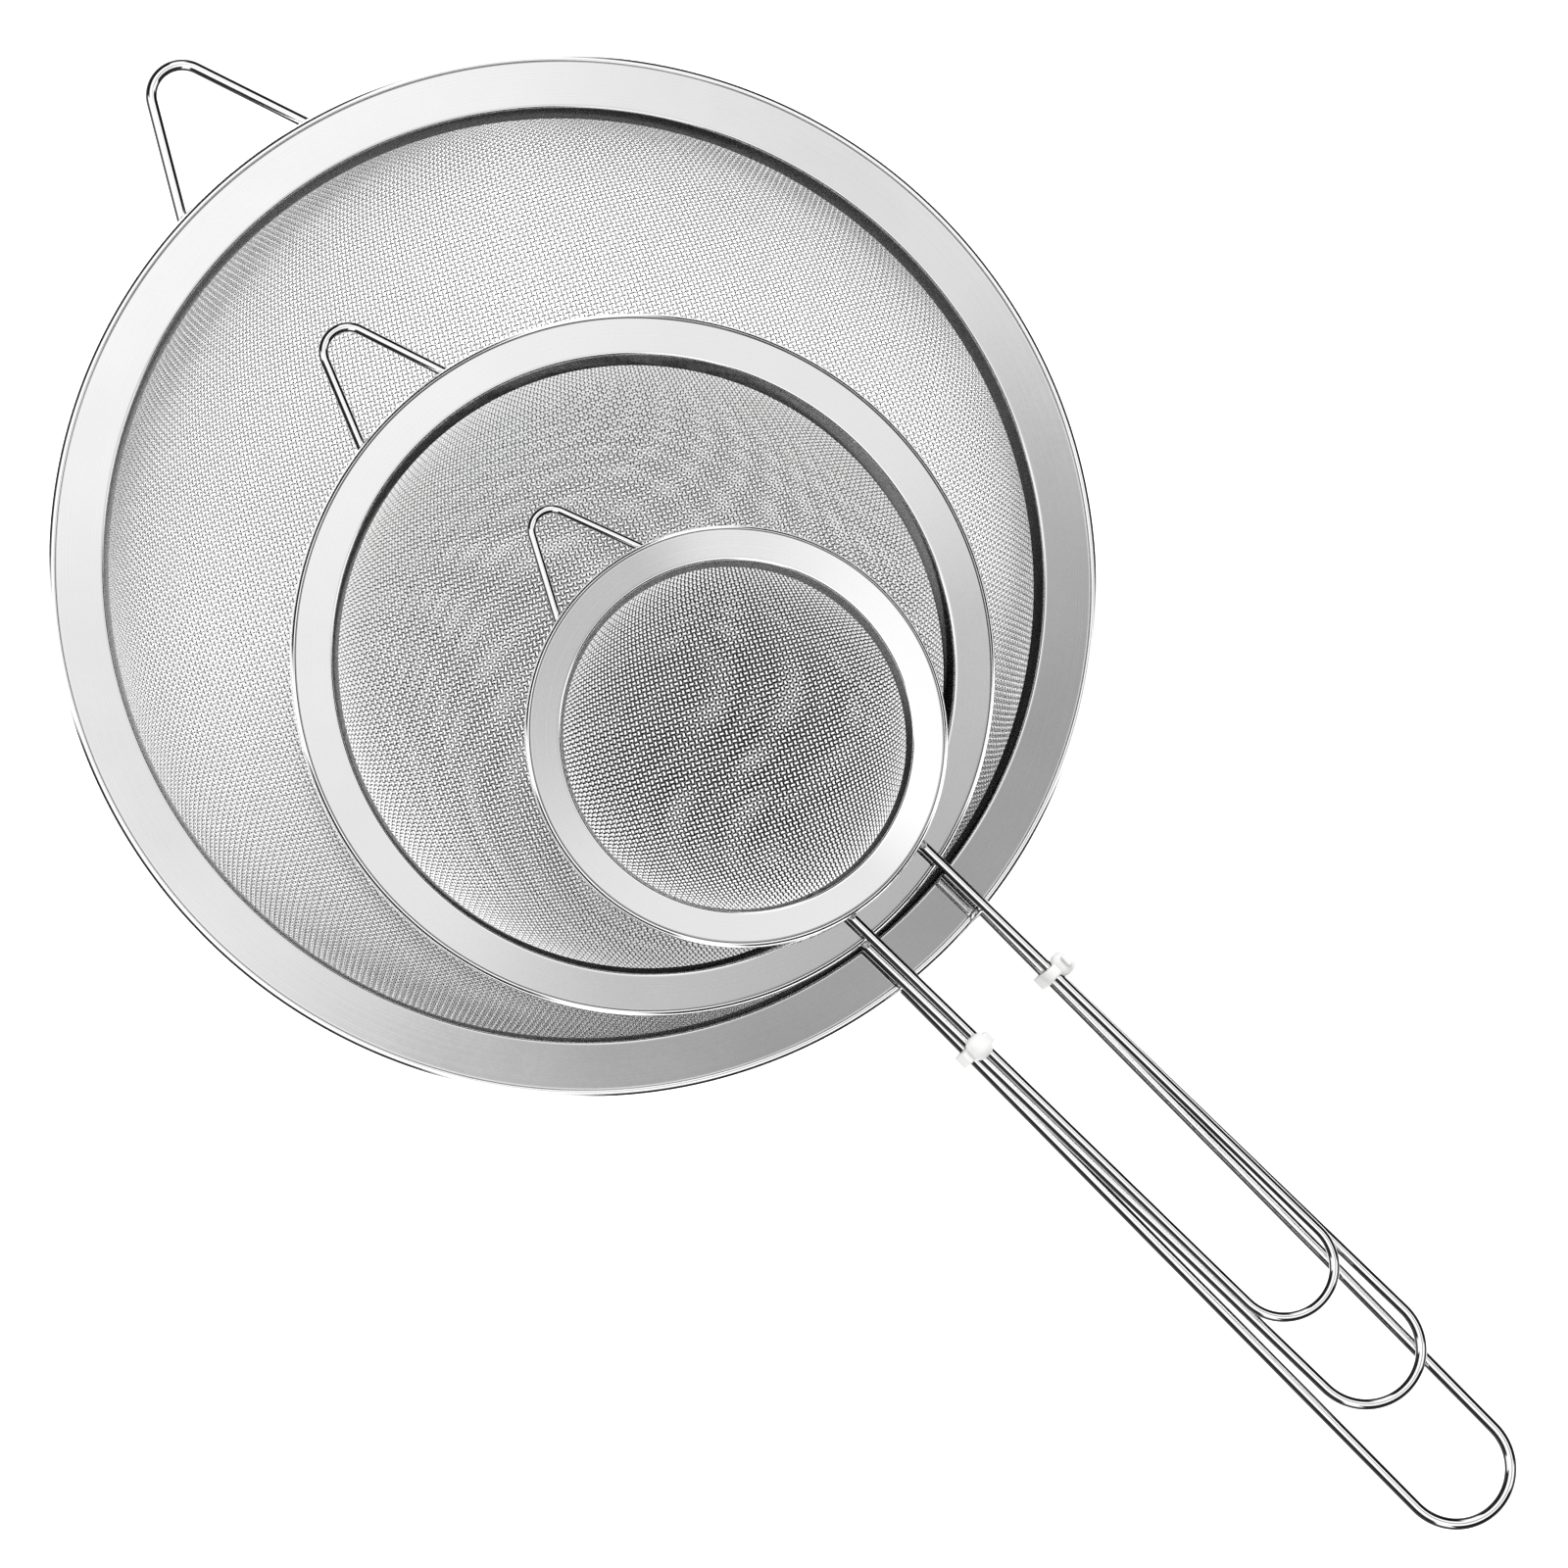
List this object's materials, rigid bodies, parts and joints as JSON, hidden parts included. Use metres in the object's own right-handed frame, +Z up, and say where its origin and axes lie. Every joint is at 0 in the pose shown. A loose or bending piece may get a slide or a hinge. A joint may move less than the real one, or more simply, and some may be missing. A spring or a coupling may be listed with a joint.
{
  "type": "nested mesh strainer set",
  "caption": "Nested set of round fine-mesh strainers with wide flat steel rims, looped wire handles and V-shaped rest hooks, bound together by white cable ties.",
  "frame": {"origin": "middle of the flat bottom of the largest mesh bowl, at its underside", "axes": "+X from the bowls along the looped wire handles, +Z up out of the bowls' mouths"},
  "size_m": [0.3724, 0.2, 0.0839],
  "materials": {
    "polished_steel": "polished stainless sheet",
    "cloth_steel": "plain woven stainless wire cloth",
    "wire_steel": "bright drawn stainless wire",
    "white_nylon": "natural white nylon"
  },
  "bodies": {
    "large_strainer": {"large_rim_band": "polished_steel", "large_hem_wire": "wire_steel", "large_clamp_ring": "polished_steel", "large_mesh_bowl": "cloth_steel", "large_handle_wire": "wire_steel", "large_rest_hook": "wire_steel", "left_cable_tie": "white_nylon", "right_cable_tie": "white_nylon"},
    "medium_strainer": {"medium_rim_band": "polished_steel", "medium_hem_wire": "wire_steel", "medium_clamp_ring": "polished_steel", "medium_mesh_bowl": "cloth_steel", "medium_handle_wire": "wire_steel", "medium_rest_hook": "wire_steel"},
    "small_strainer": {"small_rim_band": "polished_steel", "small_hem_wire": "wire_steel", "small_clamp_ring": "polished_steel", "small_mesh_bowl": "cloth_steel", "small_handle_wire": "wire_steel", "small_rest_hook": "wire_steel"}
  },
  "joints": [
    {"name": "medium_slide", "type": "slide", "parent": "large_strainer", "child": "medium_strainer", "axis": [-0.9993, -0.0314, 0.0218], "range_m": [0, 0.035]},
    {"name": "small_slide", "type": "slide", "parent": "medium_strainer", "child": "small_strainer", "axis": [-0.9986, -0.0314, 0.0436], "range_m": [0, 0.03]}
  ]
}
